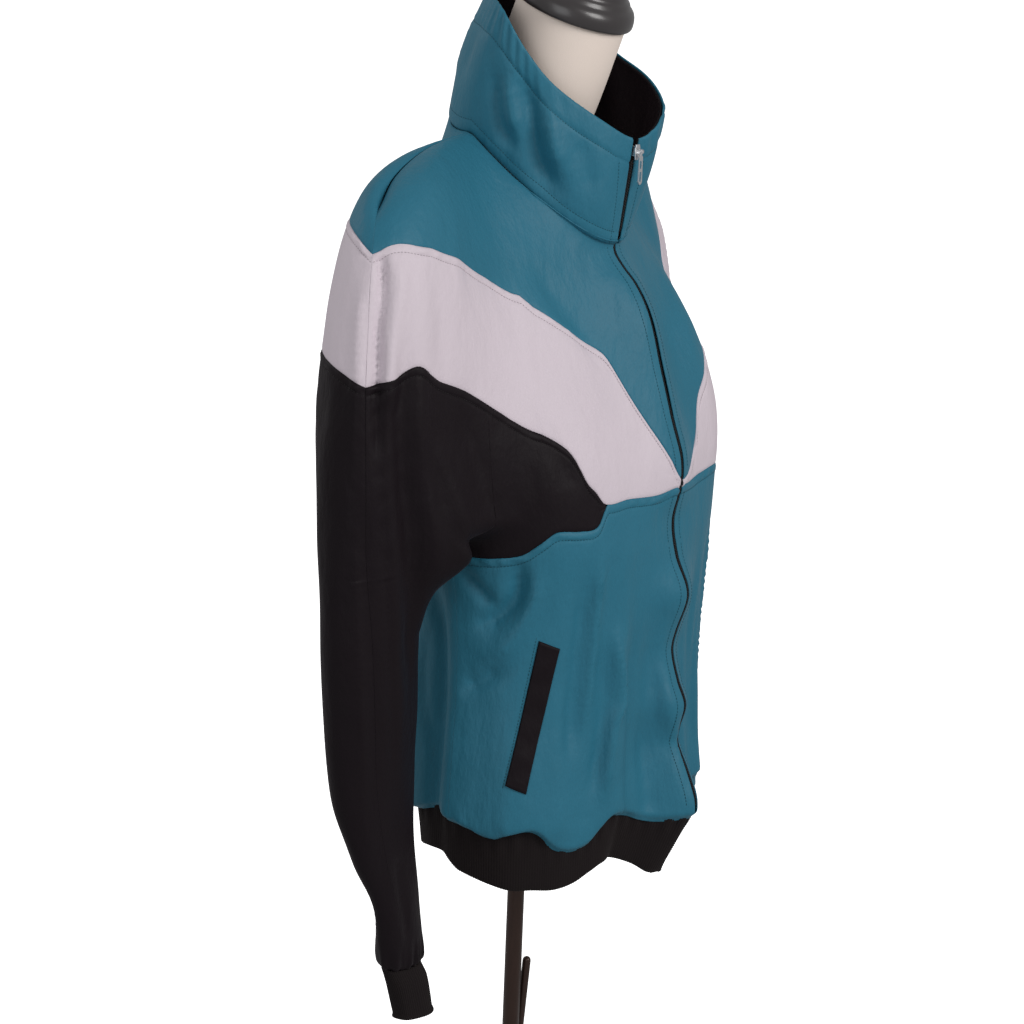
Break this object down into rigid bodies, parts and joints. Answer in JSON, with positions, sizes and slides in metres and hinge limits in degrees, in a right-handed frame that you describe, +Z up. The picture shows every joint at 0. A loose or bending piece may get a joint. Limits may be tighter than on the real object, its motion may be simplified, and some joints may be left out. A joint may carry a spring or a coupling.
{
  "type": "track jacket on a dress form",
  "caption": "zip-front track jacket with stand collar, contrast chest band and black sleeves, worn by a limbless dress form on a pole and tripod",
  "frame": {"origin": "bottom centre of the bounding box, on the floor under the pole's axis", "axes": "+Z up, the jacket's front faces -Y, the wearer's right is -X"},
  "size_m": [0.6254, 0.4278, 1.1562],
  "materials": {
    "teal_tricot": "satin",
    "white_tricot": "satin",
    "black_tricot": "satin",
    "black_rib": "matte",
    "metal": "satin",
    "linen": "matte",
    "cap": "gloss",
    "steel": "satin",
    "foot": "matte"
  },
  "bodies": {
    "root": {"band_back": "white_tricot", "band_front_left": "white_tricot", "band_front_right": "white_tricot", "body_back": "teal_tricot", "body_front_left": "teal_tricot", "body_front_right": "teal_tricot", "collar": "teal_tricot", "collar_facing": "black_tricot", "cuff_left": "black_rib", "cuff_right": "black_rib", "foot_1": "foot", "foot_2": "foot", "foot_3": "foot", "form_neck": "linen", "form_torso": "linen", "hem_band": "black_rib", "hub": "steel", "leg_1": "steel", "leg_2": "steel", "leg_3": "steel", "neck_cap": "cap", "pocket_welt_left": "black_rib", "pocket_welt_right": "black_rib", "pole": "steel", "side_rod": "steel", "sleeve_back_left": "black_tricot", "sleeve_back_right": "black_tricot", "sleeve_front_left": "black_tricot", "sleeve_front_right": "black_tricot", "yoke_back": "teal_tricot", "yoke_front_left": "teal_tricot", "yoke_front_right": "teal_tricot", "zip_coil": "black_rib", "zip_slider": "metal", "zip_tape_left": "black_tricot", "zip_tape_right": "black_tricot"},
    "pull": {"zip_pull": "metal"}
  },
  "joints": [
    {"name": "pull_hinge", "type": "hinge", "parent": "root", "child": "pull", "pos_m": [0, -0.097, 0.994], "axis": [-1, 0, 0], "range_deg": [0, 150]}
  ]
}
